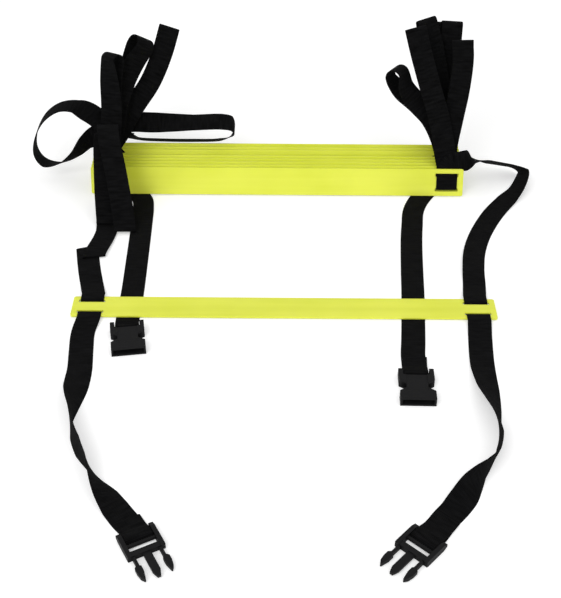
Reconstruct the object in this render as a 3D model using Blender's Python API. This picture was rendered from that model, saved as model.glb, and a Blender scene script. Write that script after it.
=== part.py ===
"""Agility ladder, packed away: eight flat rungs stand in a leaning stack, the first rung lies in front.

Two webbing straps run through slots at the ends of every rung. Between the stacked rungs each strap
bulges in loops. At the front end each strap carries a male side-release buckle, at the rear end a female one.
Units are metres, +Z is up, +X runs along the rungs and +Y runs from the loose rung to the stack.
The floor is z = 0.
"""
import math

import bmesh
import bpy
import numpy as np
from mathutils import Matrix, Vector

MM = 0.001

# Rungs
RUNG_COUNT = 9
RUNG_LENGTH = 450 * MM
RUNG_WIDTH = 33 * MM
RUNG_THICKNESS = 2 * MM
RUNG_CORNER_RADIUS = 2 * MM
RUNG_RIM = 5.5 * MM
SLOT_HEIGHT = 4 * MM
SLOT_CORNER_RADIUS = 0.8 * MM
SLOT_SIDE_PLAY = 1.5 * MM
STRAP_INSET = 20 * MM
CORNER_STEPS = 3

# Webbing
WEBBING_WIDTH = 25 * MM
WEBBING_THICKNESS = 1.0 * MM
WEAVE_GAP = 0.3 * MM
LAYER_GAP = 0.45 * MM
CROSSING_LENGTH = 5 * MM
CROSSING_STEPS = 5
WRAP_STEPS = 5
WEAVE_LEAD = 4 * MM
EDGE_LEAD = 1 * MM
BRIDGE_LEAD = 3 * MM
SIDE_TURN_RADIUS = 13.5 * MM
SIDE_TURN_STEPS = 5
SEAM_GAP = 0.3 * MM
FOLD_RADIUS = 0.75 * MM
FOLD_STEPS = 6
TURN_PER_STEP = math.radians(24)
LONGEST_STEP = 70 * MM
SHORTEST_STEP = 0.01 * MM
GAP_SAMPLES = 9

# Where the rungs lie
LOOSE_RUNG_X = 3.8 * MM
LOOSE_RUNG_Y = -7.3 * MM
STACK_X = -5.1 * MM
STACK_FRONT_Y = 215 * MM
STACK_LEAN = math.radians(20)
STACK_SPACINGS = (7.0 * MM, 7.4 * MM, 7.2 * MM, 7.0 * MM, 13.2 * MM, 7.0 * MM, 8.2 * MM)
STACK_FOOT_GAP = 0.3 * MM
LEAN_PER_LOOP = math.radians(0.7)
ORIGIN_X = 1.48 * MM
ORIGIN_Y = -11.34 * MM

# Buckles
BUCKLE_WALL = 4 * MM
BUCKLE_SIDE_GAP = 0.5 * MM
BAR_RADIUS = 1.4 * MM
BAR_SIDES = 12
BAR_WRAP_GAP = 0.3 * MM
FEMALE_BACK_SLOT = 3.6 * MM
MALE_BAR_HEIGHT = 3.9 * MM
MALE_PLATE_HEIGHT = 7 * MM
MALE_EAR_REACH = 10.5 * MM
MALE_EAR_TIP_HEIGHT = 3 * MM
MALE_BACK_SLOT = 2.6 * MM
MALE_TOOTH_BAR = 2.2 * MM
MALE_TOOTH_DEPTH = 0.9 * MM
MALE_TOOTH_COUNT = 12
MALE_FRONT_SLOT = 6.2 * MM
MALE_BODY_LENGTH = 5.6 * MM
MALE_BODY_HALF_HEIGHT = 3 * MM
MALE_BAR_THICKNESS = 2.8 * MM
TONGUE_WIDTH = 7 * MM
TONGUE_TIP_WIDTH = 3 * MM
TONGUE_LENGTH = 27 * MM
TONGUE_TAPER = 6 * MM
TONGUE_THICKNESS = 3 * MM
PRONG_ARM_LENGTH = 11.5 * MM
PRONG_ARM_WIDTH = 2.6 * MM
PRONG_HEAD_LENGTH = 14.5 * MM
PRONG_HEAD_WIDTH = 6 * MM
PRONG_THICKNESS = 4 * MM
PRONG_OUTSET = 15.6 * MM
PRONG_STEP = 2.2 * MM
HEAD_SHOULDER_SHARE = 0.35
HEAD_CURVE_SHARE = 0.75
HEAD_CURVE_OUT_SHARE = 0.55
HEAD_INNER_TIP_SHARE = 0.97
HEAD_BACK_SHARE = 0.4
FEMALE_WIDTH = 35 * MM
FEMALE_WAIST = 21 * MM
FEMALE_HEIGHT = 10 * MM
FEMALE_WALL = 2 * MM
FEMALE_EAR_REACH = 3.4 * MM
FEMALE_RECESS = 0.8 * MM
FEMALE_BACK_BLOCK = 9 * MM
FEMALE_NOTCH_SLOPE = 3 * MM
FEMALE_WINDOW = 13 * MM
FEMALE_MOUTH_BLOCK = 13 * MM
FEMALE_BAR_HEIGHT = 4.6 * MM
CUT_OVERRUN = 1 * MM
FIT_GAP = 0.3 * MM

# Buckle bars: place on the floor, heading from straight ahead (-Y) towards +X, and length of strap folded back
BUCKLES = {
    "left_male": (-118.5 * MM, -323.5 * MM, math.radians(28), 26 * MM),
    "right_male": (122.5 * MM, -325.5 * MM, math.radians(-42), 38 * MM),
    "left_female": (-158.8 * MM, -43.7 * MM, math.radians(8.5), 11 * MM),
    "right_female": (134.2 * MM, -114.9 * MM, math.radians(-1), 30 * MM),
}
# Folded-back tail: shares of its length, each with the share of its drop onto the strap below
TAIL_SHARES = ((0.12, 0.02), (0.28, 0.3), (0.5, 0.9), (0.7, 1), (1, 1))

LIME = (0.80, 0.87, 0.09, 1)
BLACK_FABRIC = (0.012, 0.012, 0.012, 1)
BLACK_PLASTIC = (0.018, 0.018, 0.018, 1)

HALF_STRAP = WEBBING_WIDTH / 2
HALF_WEBBING = WEBBING_THICKNESS / 2
SLOT_CENTRE = RUNG_WIDTH / 2 - RUNG_RIM - SLOT_HEIGHT / 2
LAYER = RUNG_THICKNESS / 2 + WEAVE_GAP + HALF_WEBBING
OUTER_LAYER = LAYER + WEBBING_THICKNESS + LAYER_GAP
WRAP_RADIUS = BAR_RADIUS + BAR_WRAP_GAP + HALF_WEBBING
SIDES = {"left": -1, "right": 1}
ALONG_X = Vector((1, 0, 0))
UPWARD = Vector((0, 0, 1))


def clear_scene():
    """Remove every object that the new file starts with."""
    for item in list(bpy.data.objects):
        bpy.data.objects.remove(item, do_unlink=True)


def plain_material(name, colour, roughness):
    """A plain Principled material."""
    made = bpy.data.materials.new(name)
    made.use_nodes = True
    shader = made.node_tree.nodes["Principled BSDF"]
    shader.inputs["Base Color"].default_value = colour
    shader.inputs["Roughness"].default_value = roughness
    shader.inputs["Metallic"].default_value = 0.0
    return made


def new_object(name, mesh, material, matrix=None, smooth=False):
    """Link a mesh as one named object with its material."""
    made = bpy.data.objects.new(name, mesh)
    bpy.context.collection.objects.link(made)
    if not mesh.materials:
        mesh.materials.append(material)
    if matrix is not None:
        made.matrix_world = matrix
    if smooth:
        mesh.shade_smooth()
        mesh.set_sharp_from_angle(angle=math.radians(40))
    return made


def mesh_from_bmesh(name, built):
    """Turn a bmesh into a mesh whose faces point outwards."""
    bmesh.ops.recalc_face_normals(built, faces=built.faces[:])
    mesh = bpy.data.meshes.new(name)
    built.to_mesh(mesh)
    built.free()
    return mesh


def rounded_rectangle(centre_x, centre_y, width, height, radius):
    """Corner arcs of a rectangle, anticlockwise, as a list of plan points."""
    points = []
    for quarter, (sign_x, sign_y) in enumerate(((1, 1), (-1, 1), (-1, -1), (1, -1))):
        arc_x = centre_x + sign_x * (width / 2 - radius)
        arc_y = centre_y + sign_y * (height / 2 - radius)
        for step in range(CORNER_STEPS + 1):
            angle = math.pi / 2 * (quarter + step / CORNER_STEPS)
            points.append((arc_x + radius * math.cos(angle), arc_y + radius * math.sin(angle)))
    return points


def plate(name, outline, holes, low, high, axis="Z"):
    """A flat plate with through holes: the outline less the holes, extruded from low to high.

    With axis X the outline is in the YZ plane and the plate runs along X.
    """
    built = bmesh.new()
    edges = []
    for loop in [outline, *holes]:
        corners = [built.verts.new((x, y, low)) for x, y in loop]
        edges += [built.edges.new((a, b)) for a, b in zip(corners, corners[1:] + corners[:1])]
    bmesh.ops.triangle_fill(built, use_beauty=True, use_dissolve=False, edges=edges)
    grown = bmesh.ops.extrude_face_region(built, geom=built.faces[:])
    lifted = [item for item in grown["geom"] if isinstance(item, bmesh.types.BMVert)]
    bmesh.ops.translate(built, verts=lifted, vec=(0, 0, high - low))
    if axis == "X":
        turn = Matrix(((0, 0, 1, 0), (1, 0, 0, 0), (0, 1, 0, 0), (0, 0, 0, 1)))
        bmesh.ops.transform(built, matrix=turn, verts=built.verts[:])
    return mesh_from_bmesh(name, built)


def rectangle(x0, x1, y0, y1):
    """Corners of a rectangle, anticlockwise."""
    return [(x0, y0), (x1, y0), (x1, y1), (x0, y1)]


def round_bar(name, reach):
    """A webbing bar about the X axis, as a mesh."""
    turns = [2 * math.pi * step / BAR_SIDES for step in range(BAR_SIDES)]
    outline = [(BAR_RADIUS * math.cos(turn), BAR_RADIUS * math.sin(turn)) for turn in turns]
    return plate(name, outline, [], -reach, reach, "X")


def combine(target, mesh, operation):
    """Join a mesh to an object, or cut it away, and keep the result as the object's own mesh."""
    tool = bpy.data.objects.new("tool", mesh)
    bpy.context.collection.objects.link(tool)
    tool.matrix_world = target.matrix_world
    tool.hide_render = True
    tool.display_type = "WIRE"
    modifier = target.modifiers.new("combine", "BOOLEAN")
    modifier.operation = operation
    modifier.object = tool
    bpy.context.view_layer.update()
    evaluated = target.evaluated_get(bpy.context.evaluated_depsgraph_get())
    result = bpy.data.meshes.new_from_object(evaluated)
    target.modifiers.remove(modifier)
    target.data = result
    bpy.data.objects.remove(tool, do_unlink=True)


# Places of the rungs

def strap_x(side):
    """Distance of a strap's centre from the rung's middle, signed."""
    return side * (RUNG_LENGTH / 2 - STRAP_INSET)


def stack_foot(number):
    """Middle of a stacked rung's lower edge."""
    foot_y = STACK_FRONT_Y + sum(STACK_SPACINGS[: number - 2])
    foot_z = WEBBING_THICKNESS + STACK_FOOT_GAP + RUNG_THICKNESS / 2 * math.sin(STACK_LEAN)
    return Vector((STACK_X, foot_y, foot_z))


def rung_matrix(number):
    """The first rung lies flat; the others stand on a long edge and lean, with local -Z to the back."""
    if number == 1:
        height = WEBBING_THICKNESS + WEAVE_GAP + RUNG_THICKNESS / 2
        return Matrix.Translation((LOOSE_RUNG_X, LOOSE_RUNG_Y, height))
    turned = Matrix.Rotation(math.pi / 2 - STACK_LEAN, 4, "X")
    return Matrix.Translation(stack_foot(number)) @ turned @ Matrix.Translation((0, RUNG_WIDTH / 2, 0))


def rung_mesh():
    """One rung lying flat about its own middle: a plate with two slots at each end."""
    outline = rounded_rectangle(0, 0, RUNG_LENGTH, RUNG_WIDTH, RUNG_CORNER_RADIUS)
    slot_length = WEBBING_WIDTH + 2 * SLOT_SIDE_PLAY
    holes = []
    for side in SIDES.values():
        for level in (-SLOT_CENTRE, SLOT_CENTRE):
            hole = rounded_rectangle(strap_x(side), level, slot_length, SLOT_HEIGHT, SLOT_CORNER_RADIUS)
            holes.append(hole)
    return plate("rung", outline, holes, -RUNG_THICKNESS / 2, RUNG_THICKNESS / 2)


# Strap routes

class Route:
    """Points of one strap and the direction of its width at each, gathered stretch by stretch."""

    def __init__(self):
        self.points = []
        self.widths = []

    def plain(self, rows):
        """Add rows as they are, one section each."""
        for point, width in rows:
            self.points.append(Vector(point))
            self.widths.append(Vector(width).normalized())

    def smooth(self, rows, ahead=None):
        """Add rows along a centripetal Catmull-Rom curve that starts at the last row so far.

        Rows are added where the curve or its width turns. The point named ahead only guides the end.
        """
        start = len(self.points) - 1
        guides = [self.points[start - 1]] if start > 0 else []
        points = [self.points[start]] if start >= 0 else []
        widths = [self.widths[start]] if start >= 0 else []
        points += [Vector(row[0]) for row in rows]
        widths += [Vector(row[1]).normalized() for row in rows]
        if start < 0:
            self.plain([(points[0], widths[0])])
        padded = (guides or [2 * points[0] - points[1]]) + points
        padded.append(Vector(ahead) if ahead is not None else 2 * points[-1] - points[-2])
        tangents = [(padded[i + 2] - padded[i]).normalized() for i in range(len(points))]
        for i in range(len(points) - 1):
            curve = padded[i : i + 4]
            chord = (curve[2] - curve[1]).normalized()
            turn = tangents[i].angle(chord, 0) + tangents[i + 1].angle(chord, 0)
            turn += widths[i].angle(widths[i + 1], 0)
            steps = max(1, math.ceil(turn / TURN_PER_STEP))
            steps = max(steps, math.ceil((curve[2] - curve[1]).length / LONGEST_STEP))
            for step in range(1, steps + 1):
                share = step / steps
                self.plain([(curve_point(curve, share), widths[i].lerp(widths[i + 1], share))])

    def turned_back(self, ruling):
        """Fold the strap over a straight line along its ruling, upwards, so that it lies on itself.

        The centre runs along half a helix about the fold line.
        """
        ruling = Vector(ruling).normalized()
        heading = (self.points[-1] - self.points[-2]).normalized()
        along = heading.dot(ruling)
        ahead = (heading - along * ruling).normalized()
        across = math.sqrt(1 - along * along)
        centre = self.points[-1] + UPWARD * FOLD_RADIUS
        for step in range(1, FOLD_STEPS + 1):
            angle = math.pi * step / FOLD_STEPS
            slide = ruling * (FOLD_RADIUS * angle * along / across)
            swing = math.sin(angle) * ahead - math.cos(angle) * UPWARD
            self.plain([(centre + slide + FOLD_RADIUS * swing, ruling)])


def curve_point(curve, share):
    """Point of a centripetal Catmull-Rom curve between its second and third of four points."""
    knots = [0.0]
    for a, b in zip(curve, curve[1:]):
        knots.append(knots[-1] + math.sqrt(max((b - a).length, SHORTEST_STEP)))
    at = knots[1] + (knots[2] - knots[1]) * share
    level = list(curve)
    for depth in (1, 2, 3):
        span = []
        for i in range(4 - depth):
            low = knots[1] if depth == 3 else knots[i]
            high = knots[2] if depth == 3 else knots[i + depth]
            span.append(level[i].lerp(level[i + 1], (at - low) / (high - low)))
        level = span
    return level[0]


def strap_rows(points, widths):
    """Four corners of a flat section per point, lifted where one would be below the floor.

    A slanting width is lengthened to keep the strap's width.
    """
    route = np.array([tuple(point) for point in points])
    across = np.array([tuple(width) for width in widths])
    pieces = np.diff(route, axis=0)
    pieces /= np.linalg.norm(pieces, axis=1)[:, None]
    along = np.vstack([pieces[:1], pieces[:-1] + pieces[1:], pieces[-1:]])
    along /= np.linalg.norm(along, axis=1)[:, None]
    face = np.cross(along, across)
    sine = np.linalg.norm(face, axis=1)
    face /= sine[:, None]
    mitre = np.ones(len(route))
    mitre[1:-1] = 1 / np.clip((along[1:-1] * pieces[:-1]).sum(axis=1), 0.85, 1)
    side = across * (HALF_STRAP / np.clip(sine, 0.5, 1))[:, None]
    up = HALF_WEBBING * face * mitre[:, None]
    rows = np.stack([route - side - up, route + side - up, route + side + up, route - side + up], axis=1)
    rows[:, :, 2] -= np.minimum(rows[:, :, 2].min(axis=1), 0)[:, None]
    return rows


def strap(name, route, material):
    """One closed flat strap along a route, with square ends."""
    rows = strap_rows(route.points, route.widths)
    faces = [(3, 2, 1, 0)]
    for row in range(len(rows) - 1):
        for corner in range(4):
            a = 4 * row + corner
            b = 4 * row + (corner + 1) % 4
            faces.append((a, b, b + 4, a + 4))
    last = 4 * (len(rows) - 1)
    faces.append((last, last + 1, last + 2, last + 3))
    mesh = bpy.data.meshes.new(name)
    mesh.from_pydata(rows.reshape(-1, 3).tolist(), [], faces)
    built = bmesh.new()
    built.from_mesh(mesh)
    bpy.data.meshes.remove(mesh)
    bmesh.ops.triangulate(built, faces=built.faces[:])
    made = new_object(name, mesh_from_bmesh(name, built), material, smooth=True)
    length = sum((b - a).length for a, b in zip(route.points, route.points[1:]))
    print(f"{name}: {length / MM:.1f} mm long, {len(rows)} sections, {2 * len(faces)} triangles")
    return made


def in_rung(number, side, rows):
    """Rows given as distance up the rung and distance out of its face, in the rung's own frame."""
    matrix = rung_matrix(number)
    return [(matrix @ Vector((strap_x(side), level, out)), ALONG_X) for level, out in rows]


def crossing(level, start, end, heading=-1):
    """Rows of a strap that passes through a slot from one face to the other along a soft S."""
    rows = []
    for step in range(CROSSING_STEPS + 1):
        share = step / CROSSING_STEPS
        eased = share * share * (3 - 2 * share)
        rows.append((level + heading * CROSSING_LENGTH * (share - 0.5), start + (end - start) * eased))
    return rows


def bridge_wrap():
    """Rows round the lower edge of a rung's bridge, from its front face to its back."""
    edge = -SLOT_CENTRE + SLOT_HEIGHT / 2
    rows = []
    for step in range(WRAP_STEPS + 1):
        angle = math.pi * step / WRAP_STEPS
        rows.append((edge - LAYER * math.sin(angle), LAYER * math.cos(angle)))
    return rows


def stack_weave(number, side):
    """Rows through a stacked rung: down behind it, over the front of its bridge, round and up behind it."""
    top = RUNG_WIDTH / 2 + EDGE_LEAD
    edge = -SLOT_CENTRE + SLOT_HEIGHT / 2
    rows = [(top, -LAYER)] + crossing(SLOT_CENTRE, -LAYER, LAYER) + bridge_wrap()
    rows += [(edge + BRIDGE_LEAD, -LAYER), (edge + 3 * BRIDGE_LEAD, -OUTER_LAYER), (top, -OUTER_LAYER)]
    return in_rung(number, side, rows)


def side_turn(side):
    """Rows behind the front rung's top edge: the strap turns in its own plane from sideways to down."""
    matrix = rung_matrix(2)
    level = SLOT_CENTRE + CROSSING_LENGTH / 2
    rows = []
    for step in range(SIDE_TURN_STEPS, 0, -1):
        angle = math.pi / 2 * step / SIDE_TURN_STEPS
        x = strap_x(side) + side * SIDE_TURN_RADIUS * (1 - math.cos(angle))
        y = level + SIDE_TURN_RADIUS * math.sin(angle)
        width = Vector((math.cos(angle), -side * math.sin(angle), 0))
        rows.append((matrix @ Vector((x, y, -LAYER)), matrix.to_3x3() @ width))
    rows.append((matrix @ Vector((strap_x(side), level + SEAM_GAP, -LAYER)), ALONG_X))
    return rows


def loose_weave(side):
    """Rows through the loose rung, from its near edge over the rims and under the bridge to its far edge."""
    reach = RUNG_WIDTH / 2 + WEAVE_LEAD
    rows = [(-reach, LAYER)] + crossing(-SLOT_CENTRE, LAYER, -LAYER, 1)
    rows += crossing(SLOT_CENTRE, -LAYER, LAYER, 1) + [(reach, LAYER)]
    return in_rung(1, side, rows)


def lying(points):
    """Rows of a strap on the floor: x, y, roll in degrees and lift, in millimetres.

    With no roll the strap lies flat. Rolled, it stands on one edge, and the centre rises with it.
    """
    rows = []
    for i, (x, y, roll, lift) in enumerate(points):
        before = points[max(i - 1, 0)]
        after = points[min(i + 1, len(points) - 1)]
        heading = Vector((after[0] - before[0], after[1] - before[1], 0)).normalized()
        level = Vector((heading.y, -heading.x, 0))
        roll = math.radians(roll)
        rise = HALF_STRAP * abs(math.sin(roll)) + HALF_WEBBING * abs(math.cos(roll))
        width = level * math.cos(roll) + UPWARD * math.sin(roll)
        rows.append((Vector((x * MM, y * MM, lift * MM + rise)), width))
    return rows


def free(points):
    """Rows of a strap in the air: x, y, z in millimetres and the direction of the width."""
    return [(Vector((x, y, z)) * MM, Vector(width)) for x, y, z, width in points]


# Loops that stand up from the stack: sideways place and height of the centre line, in millimetres.
# A loop that opens to the side also has, per row, its turn in degrees and how far the strands spread

SLAB_LOOPS = {
    "right": {
        2: [(197, 50), (187, 90), (175, 124), (163, 160), (156, 184)],
        3: [(200, 50), (206, 86), (211, 114), (214, 148), (213, 167, -12, 0)],
        4: [(194, 55), (180, 80), (160, 99, 8, 0), (145, 113, 35, 4), (138, 127, 55, 7)],
        5: [(197, 70), (190, 110), (181, 150), (171, 182, 22, 1)],
        6: [(199, 80), (199, 130), (202, 155), (203, 173)],
        7: [(196, 90), (190, 130), (186, 165)],
        8: [(198, 90), (197, 130), (198, 166)],
    },
    "left": {
        4: [(-205, 86), (-205, 118, -20, 1), (-202, 142, -45, 5)],
        6: [(-203, 66), (-195, 98), (-182, 128, 18, 1), (-171, 149, 40, 5)],
        7: [(-199, 50), (-181, 78), (-161, 105), (-146, 136), (-137, 163)],
    },
}


def slab_loop(route, number, side, centres):
    """A loop over the next rung's top edge: two strands side by side in one leaning slab, and a round turn.

    Both strands follow the same centre line, one half gap in front of it and one behind. Near its
    tip the slab may twist about that line and the strands may spread, so that the loop stands open.
    """
    out_start = route.points[-1]
    weave = stack_weave(number + 1, side)
    back_end = weave[0][0]
    lean = STACK_LEAN + LEAN_PER_LOOP * (number - 2)
    upward = Vector((0, math.sin(lean), math.cos(lean)))
    backward = Vector((0, math.cos(lean), -math.sin(lean)))
    middle = (out_start + back_end) / 2
    half = (back_end - out_start).dot(backward) / 2
    line = []
    for x, z, *_ in centres:
        climb = (z * MM - middle.z) / upward.z
        line.append(Vector((x * MM, middle.y, middle.z)) + upward * climb)
    headings = []
    for i in range(len(line)):
        before = line[i - 1] if i else middle
        after = line[min(i + 1, len(line) - 1)]
        headings.append((after - before).normalized())
    apart = []
    reach = []
    for (_, _, *opening), heading in zip(centres, headings):
        twist, spread = opening or (0, 0)
        square = (backward - heading * backward.dot(heading)).normalized()
        apart.append(Matrix.Rotation(math.radians(twist), 3, heading) @ square)
        reach.append(half + spread * MM)
    widths = [away.cross(heading) for away, heading in zip(apart, headings)]
    out = [(line[i] - apart[i] * reach[i], widths[i]) for i in range(len(line))]
    back = [(line[i] + apart[i] * reach[i], widths[i]) for i in range(len(line))]
    route.smooth(out)
    for step in range(1, FOLD_STEPS):
        angle = math.pi * step / FOLD_STEPS
        turn = headings[-1] * math.sin(angle) - apart[-1] * math.cos(angle)
        route.plain([(line[-1] + reach[-1] * turn, widths[-1])])
    route.plain([back[-1]])
    route.smooth(back[-2::-1] + [(back_end, ALONG_X)], ahead=weave[1][0])


X_WAY = (1, 0, 0)

# Left strap: two loops that fall forward over the front rung, one to the side and one over the stack

LEFT_FIRST_FALL = [
    (-210, 234.5, 46, X_WAY), (-210, 236, 60, X_WAY), (-209.5, 228, 71.5, X_WAY), (-209, 213, 66.5, X_WAY),
    (-208, 195, 49, X_WAY), (-206, 172, 26, X_WAY), (-204, 155, 8, X_WAY), (-203, 149, 4.2, X_WAY),
    (-203, 145.8, 5.2, X_WAY), (-203, 148.5, 7.8, X_WAY), (-204, 155, 12.5, X_WAY), (-206, 171, 30, X_WAY),
    (-208, 195, 54, X_WAY), (-209, 212, 71, X_WAY), (-209.5, 229, 76.5, X_WAY), (-210, 239.8, 62, X_WAY),
    (-210, 239.8, 46, X_WAY),
]
LEFT_SECOND_FALL = [
    (-210, 241.7, 46, X_WAY), (-209, 243.5, 63, X_WAY), (-206, 231, 81, X_WAY), (-202, 211, 76, X_WAY),
    (-196, 193, 59, X_WAY), (-188, 166, 34, (1, 0, 0.1)), (-182, 144, 10.5, (1, 0.1, 0)),
    (-180, 134, 3.8, (1, 0.15, -0.1)), (-180, 130, 5, (1, 0.15, -0.1)), (-180.5, 133, 7.6, (1, 0.15, -0.1)),
    (-182.5, 143, 15.5, (1, 0.1, 0)), (-188, 163, 39, (1, 0, 0.1)), (-196, 190, 64, X_WAY),
    (-202, 209, 81.5, X_WAY), (-206, 233, 86, X_WAY), (-209, 247.4, 64, X_WAY), (-210, 247.2, 46, X_WAY),
]
LEFT_SIDE_LOOP = [
    (-210.5, 258.5, 50, X_WAY), (-213, 262.8, 60, (0.92, 0.15, 0.36)), (-221, 268.3, 72, (0.8, 0.23, 0.56)),
    (-234, 268, 84, (0.6, 0.6, 0.5)), (-248, 265, 93, (0.2, 0.97, 0.1)), (-266, 261, 94, (0, 1, 0)),
    (-284, 256, 83, (0, 1, 0)), (-297, 251, 60, (0, 1, 0)), (-299, 249, 39, (0, 1, -0.05)),
    (-290, 249, 24, (0, 1, -0.1)), (-272, 251, 22, (0.1, 0.9, -0.4)), (-254, 256, 31, (0.25, 0.75, -0.6)),
    (-239, 262, 46, (0.35, 0.35, -0.87)), (-226, 265.3, 53, (0.05, -0.38, -0.925)),
    (-216, 264.7, 51.5, (0.55, -0.32, -0.77)), (-210.5, 260.8, 43, (0.95, -0.12, -0.29)),
]
LEFT_OVER_LOOP = [
    (-208, 284.8, 46, (0.95, -0.12, -0.29)), (-200, 289.3, 56, (0.6, -0.33, -0.73)),
    (-184, 291.5, 57.5, (0.1, -0.41, -0.9)), (-165, 291.5, 57, (0, -0.5, -0.86)),
    (-140, 289.5, 58, (0, -0.8, -0.6)), (-110, 287.5, 59.5, (0, -0.93, -0.36)),
    (-72, 287, 61, (0, -0.93, -0.36)), (-61, 287, 58, (0, -0.95, -0.3)), (-58.5, 287, 50, (0, -1, 0)),
    (-63, 287, 41, (0, -0.9, 0.43)), (-76, 287, 36, (0, -0.8, 0.6)), (-110, 287.5, 34.2, (0, -0.788, 0.616)),
    (-150, 288, 34.2, (0, -0.788, 0.616)), (-176, 289, 35, (0, -0.788, 0.616)),
    (-188, 291, 37, (0.45, -0.7, 0.55)), (-198, 291.5, 38.5, (0.75, -0.45, 0.45)),
    (-206, 290, 38, (0.95, -0.2, 0.2)),
]
LEFT_FREE_LOOPS = {2: LEFT_FIRST_FALL, 3: LEFT_SECOND_FALL, 5: LEFT_SIDE_LOOP, 8: LEFT_OVER_LOOP}
# Where the strap leaves the rear rung: distance behind its foot and height
REAR_FOOT = ((2.35, 2.6), (1.95, 1.45), (1.4, 0.75), (0.3, 0.5), (-4, 0.5))


def free_loop(route, number, side, points):
    """A loop along hand-chosen points, back to the next rung's top edge."""
    weave = stack_weave(number + 1, side)
    route.smooth(free(points) + [(weave[0][0], ALONG_X)], ahead=weave[1][0])


def bundle_route(name, side):
    """One strap through the eight stacked rungs, with a loop after each but the last."""
    route = Route()
    first = stack_weave(2, side)
    route.plain(first[1:] if name == "right" else first)
    for number in range(2, RUNG_COUNT):
        if number in SLAB_LOOPS[name]:
            slab_loop(route, number, side, SLAB_LOOPS[name][number])
        else:
            free_loop(route, number, side, LEFT_FREE_LOOPS[number])
        if number + 1 < RUNG_COUNT:
            route.plain(stack_weave(number + 1, side)[1:])
    route.plain(rear_weave(side))
    return route


def rear_weave(side):
    """Rows through the rear rung: down over its bridge, out at the back, round its foot and under it."""
    rows = crossing(SLOT_CENTRE, -LAYER, LAYER) + crossing(-SLOT_CENTRE, LAYER, -LAYER)
    made = in_rung(RUNG_COUNT, side, rows)
    foot = stack_foot(RUNG_COUNT)
    for back, height in REAR_FOOT:
        made.append((Vector((foot.x + strap_x(side), foot.y + back * MM, height * MM)), ALONG_X))
    return made


def buckle_matrix(name):
    """Frame of a buckle: x across, +y towards its free end, z up, about the middle of its webbing bar."""
    x, y, turn, _ = BUCKLES[name]
    height = FEMALE_BAR_HEIGHT if name.endswith("female") else MALE_BAR_HEIGHT
    return Matrix.Translation((x, y, height)) @ Matrix.Rotation(math.pi + turn, 4, "Z")


def bar_wrap(name, run_in, tail_shift):
    """Rows of a strap that comes along the floor, goes under and round a buckle's bar and folds back."""
    matrix = buckle_matrix(name)
    across = matrix.to_3x3() @ ALONG_X
    tail = BUCKLES[name][3]
    low = HALF_WEBBING - matrix.translation.z
    over = low + WEBBING_THICKNESS + LAYER_GAP
    rows = [(0, -run_in, low), (0, -WRAP_RADIUS, (low - WRAP_RADIUS - WEAVE_GAP) / 2)]
    for step in range(2 * WRAP_STEPS + 1):
        angle = -math.pi / 2 + math.pi * step / (2 * WRAP_STEPS)
        rows.append((0, WRAP_RADIUS * math.cos(angle), WRAP_RADIUS * math.sin(angle)))
    for share, drop_share in TAIL_SHARES:
        drop = (over - WRAP_RADIUS) * drop_share
        rows.append((-tail_shift * share * share, -tail * share, WRAP_RADIUS + drop))
    return [(matrix @ Vector(row), across) for row in rows]


# Free end straps, links to the stack and rear straps, chosen by hand: x, y, roll and lift

FRONT_ROUTES = {
    "left": [
        (-204.3, -48, 0, 0), (-202.5, -75, 0, 0), (-199.5, -106, 4, 0),
        (-198.5, -132, 24, 0), (-198.5, -158, 56, 0), (-197, -180, 84, 0), (-192.5, -203, 100, 0),
        (-184, -224, 102, 0), (-173.5, -243, 88, 0), (-163, -260, 58, 0), (-152.5, -275, 24, 0),
        (-142.5, -289, 3, 0), (-133.5, -301, 0, 0),
    ],
    "right": [
        (206.8, -50, 0, 0), (204.5, -75, 0, 0), (203, -99, 4, 0), (203.2, -133, 22, 0),
        (204, -163, 48, 0), (204.5, -190, 76, 0), (202.5, -213, 98, 0), (196, -233, 104, 0),
        (185, -249, 88, 0), (173.5, -263, 56, 0), (162.5, -276, 20, 0), (152.5, -288, 2, 0),
        (143.5, -298.5, 0, 0),
    ],
}
REAR_ROUTES = {
    "left": [
        (-208, 256, 0, 0), (-201, 243, 0, 0), (-189.5, 230, 0, 0), (-177, 219, 0, 0), (-167.5, 204, 0, 0),
        (-164.5, 185, 0, 0), (-163.2, 152, 0, 0), (-161.5, 85, 0, 0), (-160.2, 19, 0, 0), (-160.3, -14, 0, 0),
    ],
    "right": [
        (198.5, 258, 0, 0), (193, 247, 0, 0), (184, 235, 0, 0), (171.5, 216, 0, 0), (163, 199, 0, 0),
        (157.2, 180, 0, 0), (154, 155, 0, 0), (150.5, 123, 0, 0), (146.5, 70, 0, 0), (143.3, 20, 0, 0),
        (140.2, -20, 0, 0), (136.8, -60, 0, 0), (134.8, -80, 0, 0),
    ],
}
BUCKLE_RUN_IN = {"left_male": 14 * MM, "right_male": 14 * MM, "left_female": 11 * MM, "right_female": 12 * MM}
TAIL_SHIFT = {"left_male": -1.2 * MM, "right_male": -2 * MM, "left_female": 0 * MM, "right_female": 1 * MM}

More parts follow.
